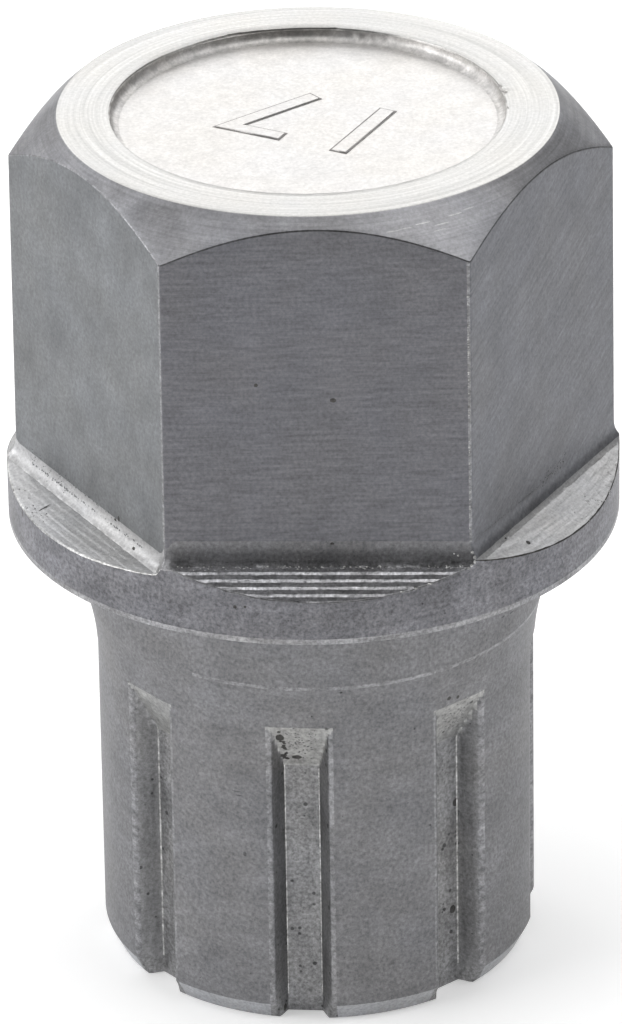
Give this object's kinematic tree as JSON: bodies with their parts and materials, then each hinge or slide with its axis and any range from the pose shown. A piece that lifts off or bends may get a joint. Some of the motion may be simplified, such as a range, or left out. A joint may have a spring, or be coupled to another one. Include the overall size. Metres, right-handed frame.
{
  "type": "locking wheel nut key",
  "caption": "One-piece steel key for locking wheel nuts: a chamfered hex drive head with a recessed top, a scalloped collar, and a round shank with key grooves along it.",
  "frame": {"origin": "centre of the end face of the shank, on which the key stands", "axes": "+Z along the axis of the key, from the shank towards the hex head; a flat of the hex faces -Y"},
  "size_m": [0.0202, 0.0202, 0.03],
  "materials": {
    "steel": "bare machined steel, satin, with turning rings and milling lines"
  },
  "bodies": {
    "root": {"wheel_nut_key": "steel"}
  },
  "joints": []
}
